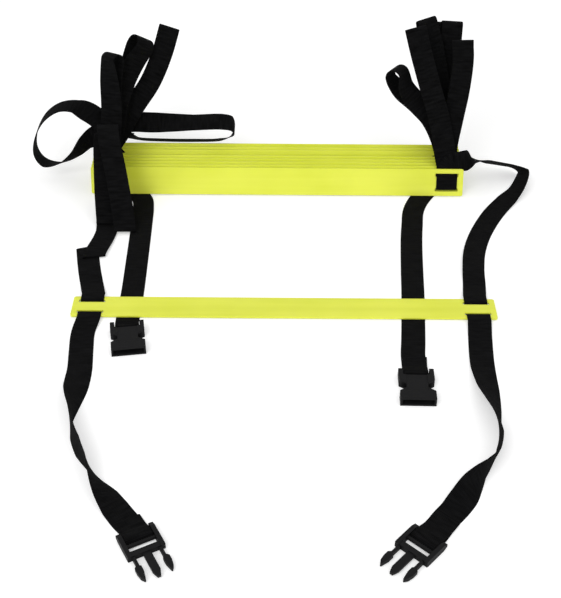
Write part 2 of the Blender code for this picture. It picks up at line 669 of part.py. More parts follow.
LEFT_LINK_FLAT = [
    (-206.5, 36, 0, 0), (-211.5, 57, 0, 0), (-216.6, 82, 0, 0), (-220.2, 101.5, 0, 0),
]
LEFT_LINK_BACK = [(-215, 94, 2, (0.9, 0.43, 0)), (-210.3, 83, 2, (0.95, 0.3, 0))]
LEFT_LINK_FOLDS = ((0.948, 0.319, 0), (0.989, 0.149, 0))
LEFT_LINK_UP = [
    (-209, 92, 3.5, (0.98, -0.16, 0)), (-204, 118, 2.6, (0.985, -0.16, 0)), (-202.5, 136, 1.2, (0.99, -0.1, 0)),
    (-203.5, 150, 2, X_WAY), (-206, 170, 16.5, X_WAY), (-208, 195, 42, X_WAY), (-209.5, 213, 59.5, X_WAY),
    (-210, 226, 65.5, X_WAY), (-210, 232.7, 57, X_WAY), (-210, 232, 46, X_WAY),
]
RIGHT_LINK = [
    (212, 38, 0, 0), (214.5, 66, -8, 0), (219.5, 97, -4, 0), (228, 126, 0, 0),
    (238, 150, 0, 0), (253.7, 180, 0, 0), (273, 208, 6, 0), (288, 228, 30, 0),
]
RIGHT_LINK_TOP = [
    (295.5, 243, 12, (0.5, -0.6, 0.6)), (297.5, 256, 13, (0.1, -0.75, 0.65)), (288, 263, 14.5, (0, -0.79, 0.62)),
    (272, 262, 18.5, (0, -0.79, 0.62)), (255, 256, 25, (0, -0.79, 0.62)), (242, 246, 33, (0.05, -0.85, 0.5)),
    (233, 240, 37, (0.03, -0.95, 0.3)), (226.5, 236.2, 39.2, (0, -0.9, -0.43)), (221, 233.2, 40.3, (0, -0.4, -0.92)),
]


def link_route(name, side):
    """The strap between the loose rung and the front rung of the stack."""
    route = Route()
    start = loose_weave(side)[-1][0]
    route.plain([(start + Vector((0, SEAM_GAP, 0)), ALONG_X)])
    if name == "right":
        turn = side_turn(side)
        route.smooth(lying(RIGHT_LINK) + free(RIGHT_LINK_TOP) + turn[:1], ahead=turn[1][0])
        route.plain(turn[1:])
        return route
    weave = stack_weave(2, side)
    end = weave[0][0] + (weave[0][0] - weave[1][0]).normalized() * SEAM_GAP
    route.smooth(lying(LEFT_LINK_FLAT))
    route.turned_back(LEFT_LINK_FOLDS[0])
    route.smooth(free(LEFT_LINK_BACK))
    route.turned_back(LEFT_LINK_FOLDS[1])
    route.smooth(free(LEFT_LINK_UP) + [(end, ALONG_X)], ahead=weave[1][0])
    return route


def end_route(start, points, buckle):
    """A free strap from a seam along the floor, round a buckle's bar and back on itself."""
    route = Route()
    route.plain([(start - Vector((0, SEAM_GAP, 0)), -ALONG_X)])
    wrap = bar_wrap(buckle, BUCKLE_RUN_IN[buckle], TAIL_SHIFT[buckle])
    route.smooth(lying(points) + wrap[:1], ahead=wrap[1][0])
    route.plain(wrap[1:])
    return route


def least_self_gap(route):
    """Least clear distance between stretches of one strap that lie over a strap's width apart along it."""
    points = np.array([tuple(point) for point in route.points])
    widths = np.array([tuple(width) for width in route.widths])
    reaches = np.linspace(-HALF_STRAP, HALF_STRAP, GAP_SAMPLES)
    fine = []
    run = []
    total = 0.0
    for i in range(len(points) - 1):
        length = float(np.linalg.norm(points[i + 1] - points[i]))
        count = max(1, math.ceil(length / WEAVE_LEAD))
        for step in range(count):
            share = step / count
            centre = points[i] + (points[i + 1] - points[i]) * share
            width = widths[i] + (widths[i + 1] - widths[i]) * share
            fine.append(centre + reaches[:, None] * width)
            run.append(total + length * share)
        total += length
    fine = np.array(fine)
    run = np.array(run)
    least = math.inf
    for rows, place in zip(fine, run):
        away = fine[np.abs(run - place) > WEBBING_WIDTH].reshape(-1, 3)
        gaps = np.linalg.norm(away[:, None, :] - rows[None, :, :], axis=2)
        least = min(least, float(gaps.min()))
    return least - WEBBING_THICKNESS


# Buckles

def male_frame(name, material):
    """Side plates with rear ears, webbing bar, toothed bar, body and middle tongue, as one solid."""
    inner = HALF_STRAP + BUCKLE_SIDE_GAP
    outer = inner + BUCKLE_WALL
    overlap = inner + BUCKLE_WALL / 2
    floor = -MALE_BAR_HEIGHT
    top = floor + MALE_PLATE_HEIGHT
    middle = floor + MALE_PLATE_HEIGHT / 2
    tooth_start = BAR_RADIUS + MALE_BACK_SLOT
    body_start = tooth_start + MALE_TOOTH_BAR + MALE_FRONT_SLOT
    body_end = body_start + MALE_BODY_LENGTH
    tip = body_end + TONGUE_LENGTH
    ear = [
        (-MALE_EAR_REACH, middle - MALE_EAR_TIP_HEIGHT / 2), (-MALE_EAR_REACH / 2, floor),
        (body_end - BUCKLE_WALL / 2, floor), (body_end, middle - MALE_BODY_HALF_HEIGHT),
        (body_end, middle + MALE_BODY_HALF_HEIGHT), (body_end - BUCKLE_WALL / 2, top),
        (-MALE_EAR_REACH / 2, top), (-MALE_EAR_REACH, middle + MALE_EAR_TIP_HEIGHT / 2),
    ]
    frame = new_object(name, plate(name, ear, [], inner, outer, "X"), material, buckle_matrix(name[:-6]))
    combine(frame, plate(name, ear, [], -outer, -inner, "X"), "UNION")
    combine(frame, round_bar(name, overlap), "UNION")
    half = MALE_BAR_THICKNESS / 2
    pitch = 2 * inner / MALE_TOOTH_COUNT
    comb = [(overlap, tooth_start), (overlap, tooth_start + MALE_TOOTH_BAR)]
    comb += [(-overlap, tooth_start + MALE_TOOTH_BAR), (-overlap, tooth_start)]
    for step in range(MALE_TOOTH_COUNT):
        comb.append((pitch * step - inner, tooth_start))
        comb.append((pitch * (step + 1 / 2) - inner, tooth_start - MALE_TOOTH_DEPTH))
    comb.append((inner, tooth_start))
    combine(frame, plate(name, comb, [], middle - half, middle + half), "UNION")
    tall = MALE_BODY_HALF_HEIGHT - FIT_GAP
    body = rectangle(body_start, body_end - FIT_GAP, middle - tall, middle + tall)
    combine(frame, plate(name, body, [], -overlap, overlap, "X"), "UNION")
    root = body_end - MALE_BODY_LENGTH / 2
    tongue = [
        (-TONGUE_WIDTH / 2, root), (TONGUE_WIDTH / 2, root), (TONGUE_WIDTH / 2, tip - TONGUE_TAPER),
        (TONGUE_TIP_WIDTH / 2, tip), (-TONGUE_TIP_WIDTH / 2, tip), (-TONGUE_WIDTH / 2, tip - TONGUE_TAPER),
    ]
    thin = TONGUE_THICKNESS / 2
    combine(frame, plate(name, tongue, [], middle - thin, middle + thin), "UNION")
    return frame


def prong(name, side, buckle, material):
    """One springy side prong with its barbed head; its origin is on the axis that it bends about."""
    axis_x = PRONG_OUTSET - PRONG_STEP - PRONG_ARM_WIDTH / 2
    body_end = BAR_RADIUS + MALE_BACK_SLOT + MALE_TOOTH_BAR + MALE_FRONT_SLOT + MALE_BODY_LENGTH
    middle = MALE_PLATE_HEIGHT / 2 - MALE_BAR_HEIGHT
    half = PRONG_ARM_WIDTH / 2
    head = PRONG_ARM_LENGTH
    long = PRONG_HEAD_LENGTH
    inward = PRONG_HEAD_WIDTH - PRONG_STEP - PRONG_ARM_WIDTH
    outline = [
        (-half, FIT_GAP), (half, FIT_GAP), (half, head - PRONG_STEP), (half + PRONG_STEP, head),
        (half + PRONG_STEP, head + HEAD_SHOULDER_SHARE * long),
        (half + HEAD_CURVE_OUT_SHARE * PRONG_STEP, head + HEAD_CURVE_SHARE * long),
        (half - PRONG_STEP / 2, head + long), (-half + inward / 2, head + HEAD_INNER_TIP_SHARE * long),
        (-half - inward, head + HEAD_BACK_SHARE * long), (-half - inward, head), (-half, head - inward),
    ]
    if side < 0:
        outline = [(-x, y) for x, y in reversed(outline)]
    mesh = plate(name, outline, [], -PRONG_THICKNESS / 2, PRONG_THICKNESS / 2)
    root = Matrix.Translation((side * axis_x, body_end, middle))
    return new_object(name, mesh, material, buckle_matrix(buckle) @ root)


def female_buckle(name, material):
    """Hollow socket: rear lugs and webbing bar, back block, waist with open sides, and mouth block."""
    half = FEMALE_WIDTH / 2
    waist = FEMALE_WAIST / 2
    inner = HALF_STRAP + BUCKLE_SIDE_GAP
    floor = -FEMALE_BAR_HEIGHT
    top = floor + FEMALE_HEIGHT
    back = BAR_RADIUS + FEMALE_BACK_SLOT
    window = back + FEMALE_BACK_BLOCK
    mouth = window + FEMALE_WINDOW
    front = mouth + FEMALE_MOUTH_BLOCK
    slope = FEMALE_NOTCH_SLOPE
    right = [
        (inner, back), (inner, -FEMALE_EAR_REACH), (half, -FEMALE_EAR_REACH), (half, window - slope / 2),
        (waist, window + slope), (waist, mouth - slope), (half, mouth + slope / 2), (half, front),
    ]
    outline = right + [(-x, y) for x, y in reversed(right)]
    shell = new_object(name, plate(name, outline, [], floor, top), material, buckle_matrix(name[:-7]))
    combine(shell, round_bar(name, (inner + half) / 2), "UNION")
    cavity = rectangle(-half + FEMALE_WALL, half - FEMALE_WALL, window, front + CUT_OVERRUN)
    combine(shell, plate(name, cavity, [], floor + FEMALE_WALL, top - FEMALE_WALL), "DIFFERENCE")
    recess = rectangle(-waist, waist, back - CUT_OVERRUN, mouth + slope / 2)
    combine(shell, plate(name, recess, [], top - FEMALE_RECESS, top + CUT_OVERRUN), "DIFFERENCE")
    return shell


def main():
    """Build every piece."""
    clear_scene()
    lime = plain_material("lime plastic", LIME, 0.4)
    fabric = plain_material("black webbing", BLACK_FABRIC, 0.85)
    moulded = plain_material("black moulded plastic", BLACK_PLASTIC, 0.5)
    shared = rung_mesh()
    for number in range(1, RUNG_COUNT + 1):
        new_object(f"rung_{number}", shared, lime, rung_matrix(number))
    for name, side in SIDES.items():
        weave = Route()
        weave.plain(loose_weave(side))
        strap(f"{name}_rung_1_webbing", weave, fabric)
        near = loose_weave(side)[0][0]
        strap(f"{name}_front_strap", end_route(near, FRONT_ROUTES[name], f"{name}_male"), fabric)
        strap(f"{name}_link_webbing", link_route(name, side), fabric)
        bundle = bundle_route(name, side)
        strap(f"{name}_bundle_webbing", bundle, fabric)
        print(f"{name} bundle, least gap to itself: {least_self_gap(bundle) / MM:.2f} mm")
        rear = rear_weave(side)[-1][0]
        strap(f"{name}_rear_strap", end_route(rear, REAR_ROUTES[name], f"{name}_female"), fabric)
        male_frame(f"{name}_male_frame", moulded)
        for hand, where in (("a", 1), ("b", -1)):
            prong(f"{name}_male_prong_{hand}", where, f"{name}_male", moulded)
        female_buckle(f"{name}_female_buckle", moulded)
    origin = Vector((ORIGIN_X, ORIGIN_Y, 0))
    for item in bpy.data.objects:
        item.matrix_world = Matrix.Translation(-origin) @ item.matrix_world


main()
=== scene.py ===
"""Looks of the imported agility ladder: ribbed black webbing, satin lime rungs and matt black buckles.

The strap routes are those of the solids, followed in finer steps. Each strap is a flat ribbed profile carried
along its route. Lengths are in metres. The floor is z = 0, +Z is up and +X runs along the rungs.
"""
import math

import bpy
import numpy as np
from mathutils import Matrix, Vector


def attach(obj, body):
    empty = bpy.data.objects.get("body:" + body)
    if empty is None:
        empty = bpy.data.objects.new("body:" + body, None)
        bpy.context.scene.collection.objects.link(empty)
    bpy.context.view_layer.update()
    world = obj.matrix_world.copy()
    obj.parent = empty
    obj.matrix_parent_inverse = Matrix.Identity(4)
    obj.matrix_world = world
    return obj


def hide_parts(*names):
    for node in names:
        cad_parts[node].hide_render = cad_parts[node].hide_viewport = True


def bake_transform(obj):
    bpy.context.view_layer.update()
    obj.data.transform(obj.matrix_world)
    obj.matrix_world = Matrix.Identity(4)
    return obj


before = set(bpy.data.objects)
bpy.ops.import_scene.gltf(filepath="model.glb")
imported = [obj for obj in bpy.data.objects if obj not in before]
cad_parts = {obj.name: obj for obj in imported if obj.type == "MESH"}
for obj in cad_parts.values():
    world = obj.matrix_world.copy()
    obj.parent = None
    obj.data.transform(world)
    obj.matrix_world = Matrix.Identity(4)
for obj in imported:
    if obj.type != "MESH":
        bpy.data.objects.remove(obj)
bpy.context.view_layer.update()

MM = 0.001

# Rungs
RUNG_COUNT = 9
RUNG_LENGTH = 450 * MM
RUNG_WIDTH = 33 * MM
RUNG_THICKNESS = 2 * MM
RUNG_RIM = 5.5 * MM
SLOT_HEIGHT = 4 * MM
STRAP_INSET = 20 * MM

# Webbing
WEBBING_WIDTH = 25 * MM
WEBBING_THICKNESS = 1.0 * MM
WEAVE_GAP = 0.3 * MM
LAYER_GAP = 0.45 * MM
CROSSING_LENGTH = 5 * MM
CROSSING_STEPS = 16
WRAP_STEPS = 14
WEAVE_LEAD = 4 * MM
EDGE_LEAD = 1 * MM
BRIDGE_LEAD = 3 * MM
SIDE_TURN_RADIUS = 13.5 * MM
SIDE_TURN_STEPS = 16
SEAM_GAP = 0.3 * MM
FOLD_RADIUS = 0.75 * MM
FOLD_STEPS = 18
TURN_PER_STEP = math.radians(4)
LONGEST_STEP = 4 * MM
SHORTEST_STEP = 0.01 * MM

# Where the rungs lie
LOOSE_RUNG_X = 3.8 * MM
LOOSE_RUNG_Y = -7.3 * MM
STACK_X = -5.1 * MM
STACK_FRONT_Y = 215 * MM
STACK_LEAN = math.radians(20)
# Distance from each stacked rung to the one behind it
STACK_SPACINGS = (7.0 * MM, 7.4 * MM, 7.2 * MM, 7.0 * MM, 13.2 * MM, 7.0 * MM, 8.2 * MM)
STACK_FOOT_GAP = 0.3 * MM
LEAN_PER_LOOP = math.radians(0.7)
# The part's origin, in the coordinates that the rungs and routes are given in
ORIGIN_X = 1.48 * MM
ORIGIN_Y = -11.34 * MM

# Buckles
BAR_RADIUS = 1.4 * MM
BAR_WRAP_GAP = 0.3 * MM
MALE_BAR_HEIGHT = 3.9 * MM
FEMALE_BAR_HEIGHT = 4.6 * MM

# Buckle bars: place on the floor, heading from straight ahead (-Y) towards +X, and the strap folded back
BUCKLES = {
    "left_male": (-118.5 * MM, -323.5 * MM, math.radians(28), 26 * MM),
    "right_male": (122.5 * MM, -325.5 * MM, math.radians(-42), 38 * MM),
    "left_female": (-158.8 * MM, -43.7 * MM, math.radians(8.5), 11 * MM),
    "right_female": (134.2 * MM, -114.9 * MM, math.radians(-1), 30 * MM),
}
# Length of strap that runs straight into each bar, and how far the tip of its tail lies to one side
BUCKLE_RUN_IN = {"left_male": 14 * MM, "right_male": 14 * MM, "left_female": 11 * MM, "right_female": 12 * MM}
TAIL_SHIFT = {"left_male": -1.2 * MM, "right_male": -2 * MM, "left_female": 0, "right_female": 1 * MM}
# Folded-back tail: shares of its length, each with the share of its drop onto the strap below
TAIL_SHARES = ((0.12, 0.02), (0.28, 0.3), (0.5, 0.9), (0.7, 1), (1, 1))

# Worked out from these
HALF_STRAP = WEBBING_WIDTH / 2
HALF_WEBBING = WEBBING_THICKNESS / 2
SLOT_CENTRE = RUNG_WIDTH / 2 - RUNG_RIM - SLOT_HEIGHT / 2
BRIDGE_EDGE = SLOT_HEIGHT / 2 - SLOT_CENTRE
LAYER = RUNG_THICKNESS / 2 + WEAVE_GAP + HALF_WEBBING
OUTER_LAYER = LAYER + WEBBING_THICKNESS + LAYER_GAP
WRAP_RADIUS = BAR_RADIUS + BAR_WRAP_GAP + HALF_WEBBING
SIDES = {"left": -1, "right": 1}
ALONG_X = Vector((1, 0, 0))
UPWARD = Vector((0, 0, 1))


# Places of the rungs

def strap_x(side):
    """Distance of a strap's centre from the rung's middle, signed."""
    return side * (RUNG_LENGTH / 2 - STRAP_INSET)


def stack_foot(number):
    """Middle of a stacked rung's lower edge."""
    foot_y = STACK_FRONT_Y + sum(STACK_SPACINGS[: number - 2])
    foot_z = WEBBING_THICKNESS + STACK_FOOT_GAP + RUNG_THICKNESS / 2 * math.sin(STACK_LEAN)
    return Vector((STACK_X, foot_y, foot_z))


def rung_matrix(number):
    """The first rung lies flat; the others stand on a long edge and lean, with local -Z to the back."""
    if number == 1:
        height = WEBBING_THICKNESS + WEAVE_GAP + RUNG_THICKNESS / 2
        return Matrix.Translation((LOOSE_RUNG_X, LOOSE_RUNG_Y, height))
    turned = Matrix.Rotation(math.pi / 2 - STACK_LEAN, 4, "X")
    return Matrix.Translation(stack_foot(number)) @ turned @ Matrix.Translation((0, RUNG_WIDTH / 2, 0))


# Strap routes

class Route:
    """Points of one strap and the direction of its width at each, gathered stretch by stretch."""

    def __init__(self):
        self.points = []
        self.widths = []

    def plain(self, rows):
        """Add rows as they are, one section each."""
        for point, width in rows:
            self.points.append(Vector(point))
            self.widths.append(Vector(width).normalized())

    def smooth(self, rows, ahead=None):
        """Add rows along a centripetal Catmull-Rom curve that starts at the last row so far.

        Rows are added where the curve or its width turns. The point named ahead only guides the end.
        """
        points = [self.points[-1]] + [Vector(point) for point, _ in rows]
        widths = [self.widths[-1]] + [Vector(width).normalized() for _, width in rows]
        before = self.points[-2] if len(self.points) > 1 else 2 * points[0] - points[1]
        after = Vector(ahead) if ahead is not None else 2 * points[-1] - points[-2]
        padded = [before] + points + [after]
        tangents = [(padded[i + 2] - padded[i]).normalized() for i in range(len(points))]
        for i in range(len(points) - 1):
            curve = padded[i : i + 4]
            chord = (curve[2] - curve[1]).normalized()
            turn = tangents[i].angle(chord, 0) + tangents[i + 1].angle(chord, 0)
            turn += widths[i].angle(widths[i + 1], 0)
            steps = max(1, math.ceil(turn / TURN_PER_STEP))
            steps = max(steps, math.ceil((curve[2] - curve[1]).length / LONGEST_STEP))
            for step in range(1, steps + 1):
                share = step / steps
                self.plain([(curve_point(curve, share), widths[i].lerp(widths[i + 1], share))])

    def turned_back(self, ruling):
        """Fold the strap over a straight line along its ruling, upwards, so that it lies on itself.

        The centre runs along half a helix about the fold line.
        """
        ruling = Vector(ruling).normalized()
        heading = (self.points[-1] - self.points[-2]).normalized()
        along = heading.dot(ruling)
        ahead = (heading - along * ruling).normalized()
        across = math.sqrt(1 - along * along)
        centre = self.points[-1] + UPWARD * FOLD_RADIUS
        for step in range(1, FOLD_STEPS + 1):
            angle = math.pi * step / FOLD_STEPS
            slide = ruling * (FOLD_RADIUS * angle * along / across)
            swing = math.sin(angle) * ahead - math.cos(angle) * UPWARD
            self.plain([(centre + slide + FOLD_RADIUS * swing, ruling)])


def curve_point(curve, share):
    """Point of a centripetal Catmull-Rom curve between its second and third of four points."""
    knots = [0.0]
    for a, b in zip(curve, curve[1:]):
        knots.append(knots[-1] + math.sqrt(max((b - a).length, SHORTEST_STEP)))
    at = knots[1] + (knots[2] - knots[1]) * share
    level = list(curve)
    for depth in (1, 2, 3):
        span = []
        for i in range(4 - depth):
            low = knots[1] if depth == 3 else knots[i]
            high = knots[2] if depth == 3 else knots[i + depth]
            span.append(level[i].lerp(level[i + 1], (at - low) / (high - low)))
        level = span
    return level[0]


def in_rung(number, side, rows):
    """Rows given as distance up the rung and distance out of its face, in the rung's own frame."""
    matrix = rung_matrix(number)
    return [(matrix @ Vector((strap_x(side), level, out)), ALONG_X) for level, out in rows]


def crossing(level, start, end, heading=-1):
    """Rows of a strap that passes through a slot from one face to the other along a soft S."""
    rows = []
    for step in range(CROSSING_STEPS + 1):
        share = step / CROSSING_STEPS
        eased = share * share * (3 - 2 * share)
        rows.append((level + heading * CROSSING_LENGTH * (share - 0.5), start + (end - start) * eased))
    return rows


def bridge_wrap():
    """Rows round the lower edge of a rung's bridge, from its front face to its back."""
    rows = []
    for step in range(WRAP_STEPS + 1):
        angle = math.pi * step / WRAP_STEPS
        rows.append((BRIDGE_EDGE - LAYER * math.sin(angle), LAYER * math.cos(angle)))
    return rows


def stack_weave(number, side):
    """Rows through a stacked rung: down behind it, over the front of its bridge, round and up behind it."""
    top = RUNG_WIDTH / 2 + EDGE_LEAD
    rows = [(top, -LAYER)] + crossing(SLOT_CENTRE, -LAYER, LAYER) + bridge_wrap()
    rows += [(BRIDGE_EDGE + BRIDGE_LEAD, -LAYER), (BRIDGE_EDGE + 3 * BRIDGE_LEAD, -OUTER_LAYER)]
    rows.append((top, -OUTER_LAYER))
    return in_rung(number, side, rows)


def side_turn(side):
    """Rows behind the front rung's top edge: the strap turns in its own plane from sideways to down."""
    matrix = rung_matrix(2)
    level = SLOT_CENTRE + CROSSING_LENGTH / 2
    rows = []
    for step in range(SIDE_TURN_STEPS, 0, -1):
        angle = math.pi / 2 * step / SIDE_TURN_STEPS
        x = strap_x(side) + side * SIDE_TURN_RADIUS * (1 - math.cos(angle))
        y = level + SIDE_TURN_RADIUS * math.sin(angle)
        width = Vector((math.cos(angle), -side * math.sin(angle), 0))
        rows.append((matrix @ Vector((x, y, -LAYER)), matrix.to_3x3() @ width))
    rows.append((matrix @ Vector((strap_x(side), level + SEAM_GAP, -LAYER)), ALONG_X))
    return rows


def loose_weave(side):
    """Rows through the loose rung, from its near edge over the rims and under the bridge to its far edge."""
    reach = RUNG_WIDTH / 2 + WEAVE_LEAD
    rows = [(-reach, LAYER)] + crossing(-SLOT_CENTRE, LAYER, -LAYER, 1)
    rows += crossing(SLOT_CENTRE, -LAYER, LAYER, 1) + [(reach, LAYER)]
    return in_rung(1, side, rows)


def lying(points):
    """Rows of a strap on the floor: x and y in millimetres, then its roll in degrees where it is rolled.

    With no roll the strap lies flat. Rolled, it stands on one edge, and the centre rises with it.
    """
    rows = []
    for i, (x, y, *rolled) in enumerate(points):
        before = points[max(i - 1, 0)]
        after = points[min(i + 1, len(points) - 1)]
        heading = Vector((after[0] - before[0], after[1] - before[1], 0)).normalized()
        level = Vector((heading.y, -heading.x, 0))
        roll = math.radians(rolled[0] if rolled else 0)
        rise = HALF_STRAP * abs(math.sin(roll)) + HALF_WEBBING * abs(math.cos(roll))
        width = level * math.cos(roll) + UPWARD * math.sin(roll)
        rows.append((Vector((x * MM, y * MM, rise)), width))
    return rows


def free(points):
    """Rows of a strap in the air: x, y, z in millimetres, then its width's direction if not along X."""
    rows = []
    for x, y, z, *width in points:
        rows.append((Vector((x, y, z)) * MM, Vector(width[0]) if width else ALONG_X))
    return rows


# Loops that stand up from the stack, by the number of the rung that they come out of. A row is the sideways
# place and the height of the centre line in millimetres. Where a loop opens, the row also has its turn in
# degrees and how many millimetres each strand moves out.

SLAB_LOOPS = {
    "right": {
        2: [(197, 50), (187, 90), (175, 124), (163, 160), (156, 184)],
        3: [(200, 50), (206, 86), (211, 114), (214, 148), (213, 167, -12, 0)],
        4: [(194, 55), (180, 80), (160, 99, 8, 0), (145, 113, 35, 4), (138, 127, 55, 7)],
        5: [(197, 70), (190, 110), (181, 150), (171, 182, 22, 1)],
        6: [(199, 80), (199, 130), (202, 155), (203, 173)],
        7: [(196, 90), (190, 130), (186, 165)],
        8: [(198, 90), (197, 130), (198, 166)],
    },
    "left": {
        4: [(-205, 86), (-205, 118, -20, 1), (-202, 142, -45, 5)],
        6: [(-203, 66), (-195, 98), (-182, 128, 18, 1), (-171, 149, 40, 5)],
        7: [(-199, 50), (-181, 78), (-161, 105), (-146, 136), (-137, 163)],
    },
}


def slab_loop(route, number, side, centres):
    """A loop over the next rung's top edge: two strands side by side in one leaning slab, and a round turn.

    Both strands follow the same centre line, one half the gap in front of it and one half behind. Near
    its tip the slab may twist about that line and the strands may spread, so that the loop stands open.
    """
    out_start = route.points[-1]
    weave = stack_weave(number + 1, side)
    back_end = weave[0][0]
    lean = STACK_LEAN + LEAN_PER_LOOP * (number - 2)
    upward = Vector((0, math.sin(lean), math.cos(lean)))
    backward = Vector((0, math.cos(lean), -math.sin(lean)))
    middle = (out_start + back_end) / 2
    half = (back_end - out_start).dot(backward) / 2
    line = []
    for x, z, *_ in centres:
        climb = (z * MM - middle.z) / upward.z
        line.append(Vector((x * MM, middle.y, middle.z)) + upward * climb)
    headings = []
    for i in range(len(line)):
        before = line[i - 1] if i else middle
        after = line[min(i + 1, len(line) - 1)]
        headings.append((after - before).normalized())
    apart = []
    reach = []
    for (_, _, *opening), heading in zip(centres, headings):
        twist, spread = opening or (0, 0)
        square = (backward - heading * backward.dot(heading)).normalized()
        apart.append(Matrix.Rotation(math.radians(twist), 3, heading) @ square)
        reach.append(half + spread * MM)
    widths = [away.cross(heading) for away, heading in zip(apart, headings)]
    out = [(line[i] - apart[i] * reach[i], widths[i]) for i in range(len(line))]
    back = [(line[i] + apart[i] * reach[i], widths[i]) for i in range(len(line))]
    route.smooth(out)
    for step in range(1, FOLD_STEPS):
        angle = math.pi * step / FOLD_STEPS
        turn = headings[-1] * math.sin(angle) - apart[-1] * math.cos(angle)
        route.plain([(line[-1] + reach[-1] * turn, widths[-1])])
    route.plain([back[-1]])
    route.smooth(back[-2::-1] + [(back_end, ALONG_X)], ahead=weave[1][0])


# Left strap: two loops that fall forward over the front rung, one to the side and one over the stack

LEFT_FIRST_FALL = [
    (-210, 234.5, 46), (-210, 236, 60), (-209.5, 228, 71.5), (-209, 213, 66.5), (-208, 195, 49),
    (-206, 172, 26), (-204, 155, 8), (-203, 149, 4.2), (-203, 145.8, 5.2), (-203, 148.5, 7.8),
    (-204, 155, 12.5), (-206, 171, 30), (-208, 195, 54), (-209, 212, 71), (-209.5, 229, 76.5),
    (-210, 239.8, 62), (-210, 239.8, 46),
]
LEFT_SECOND_FALL = [
    (-210, 241.7, 46), (-209, 243.5, 63), (-206, 231, 81), (-202, 211, 76), (-196, 193, 59),
    (-188, 166, 34, (1, 0, 0.1)), (-182, 144, 10.5, (1, 0.1, 0)), (-180, 134, 3.8, (1, 0.15, -0.1)),
    (-180, 130, 5, (1, 0.15, -0.1)), (-180.5, 133, 7.6, (1, 0.15, -0.1)),
    (-182.5, 143, 15.5, (1, 0.1, 0)), (-188, 163, 39, (1, 0, 0.1)), (-196, 190, 64), (-202, 209, 81.5),
    (-206, 233, 86), (-209, 247.4, 64), (-210, 247.2, 46),
]
LEFT_SIDE_LOOP = [
    (-210.5, 258.5, 50), (-213, 262.8, 60, (0.92, 0.15, 0.36)), (-221, 268.3, 72, (0.8, 0.23, 0.56)),
    (-234, 268, 84, (0.6, 0.6, 0.5)), (-248, 265, 93, (0.2, 0.97, 0.1)), (-266, 261, 94, (0, 1, 0)),
    (-284, 256, 83, (0, 1, 0)), (-297, 251, 60, (0, 1, 0)), (-299, 249, 39, (0, 1, -0.05)),
    (-290, 249, 24, (0, 1, -0.1)), (-272, 251, 22, (0.1, 0.9, -0.4)),
    (-254, 256, 31, (0.25, 0.75, -0.6)), (-239, 262, 46, (0.35, 0.35, -0.87)),
    (-226, 265.3, 53, (0.05, -0.38, -0.925)), (-216, 264.7, 51.5, (0.55, -0.32, -0.77)),
    (-210.5, 260.8, 43, (0.95, -0.12, -0.29)),
]
LEFT_OVER_LOOP = [
    (-208, 284.8, 46, (0.95, -0.12, -0.29)), (-200, 289.3, 56, (0.6, -0.33, -0.73)),
    (-184, 291.5, 57.5, (0.1, -0.41, -0.9)), (-165, 291.5, 57, (0, -0.5, -0.86)),
    (-140, 289.5, 58, (0, -0.8, -0.6)), (-110, 287.5, 59.5, (0, -0.93, -0.36)),
    (-72, 287, 61, (0, -0.93, -0.36)), (-61, 287, 58, (0, -0.95, -0.3)), (-58.5, 287, 50, (0, -1, 0)),
    (-63, 287, 41, (0, -0.9, 0.43)), (-76, 287, 36, (0, -0.8, 0.6)),
    (-110, 287.5, 34.2, (0, -0.788, 0.616)), (-150, 288, 34.2, (0, -0.788, 0.616)),
    (-176, 289, 35, (0, -0.788, 0.616)), (-188, 291, 37, (0.45, -0.7, 0.55)),
    (-198, 291.5, 38.5, (0.75, -0.45, 0.45)), (-206, 290, 38, (0.95, -0.2, 0.2)),
]
LEFT_FREE_LOOPS = {2: LEFT_FIRST_FALL, 3: LEFT_SECOND_FALL, 5: LEFT_SIDE_LOOP, 8: LEFT_OVER_LOOP}
# Where the strap leaves the rear rung: distance behind its foot and height, in millimetres
REAR_FOOT = ((2.35, 2.6), (1.95, 1.45), (1.4, 0.75), (0.3, 0.5), (-4, 0.5))


def free_loop(route, number, side, points):
    """A loop along the given points, back to the next rung's top edge."""
    weave = stack_weave(number + 1, side)
    route.smooth(free(points) + [(weave[0][0], ALONG_X)], ahead=weave[1][0])


def bundle_route(name, side):
    """One strap through the eight stacked rungs, with a loop after each but the last.

    On the right it starts just above the front rung's upper slot, where the link ends.
    """
    route = Route()
    first = stack_weave(2, side)
    route.plain(first[1:] if name == "right" else first)
    for number in range(2, RUNG_COUNT):
        if number in SLAB_LOOPS[name]:
            slab_loop(route, number, side, SLAB_LOOPS[name][number])
        else:
            free_loop(route, number, side, LEFT_FREE_LOOPS[number])
        if number + 1 < RUNG_COUNT:
            route.plain(stack_weave(number + 1, side)[1:])
    route.plain(rear_weave(side))
    return route


def rear_weave(side):
    """Rows through the rear rung: down over its bridge, out at the back, round its foot and under it."""
    rows = crossing(SLOT_CENTRE, -LAYER, LAYER) + crossing(-SLOT_CENTRE, LAYER, -LAYER)
    made = in_rung(RUNG_COUNT, side, rows)
    foot = stack_foot(RUNG_COUNT)
    for back, height in REAR_FOOT:
        made.append((Vector((foot.x + strap_x(side), foot.y + back * MM, height * MM)), ALONG_X))
    return made


def buckle_matrix(name):
    """Frame of a buckle: x across, +y towards its free end, z up, about the middle of its webbing bar."""
    x, y, turn, _ = BUCKLES[name]
    height = FEMALE_BAR_HEIGHT if name.endswith("female") else MALE_BAR_HEIGHT
    return Matrix.Translation((x, y, height)) @ Matrix.Rotation(math.pi + turn, 4, "Z")


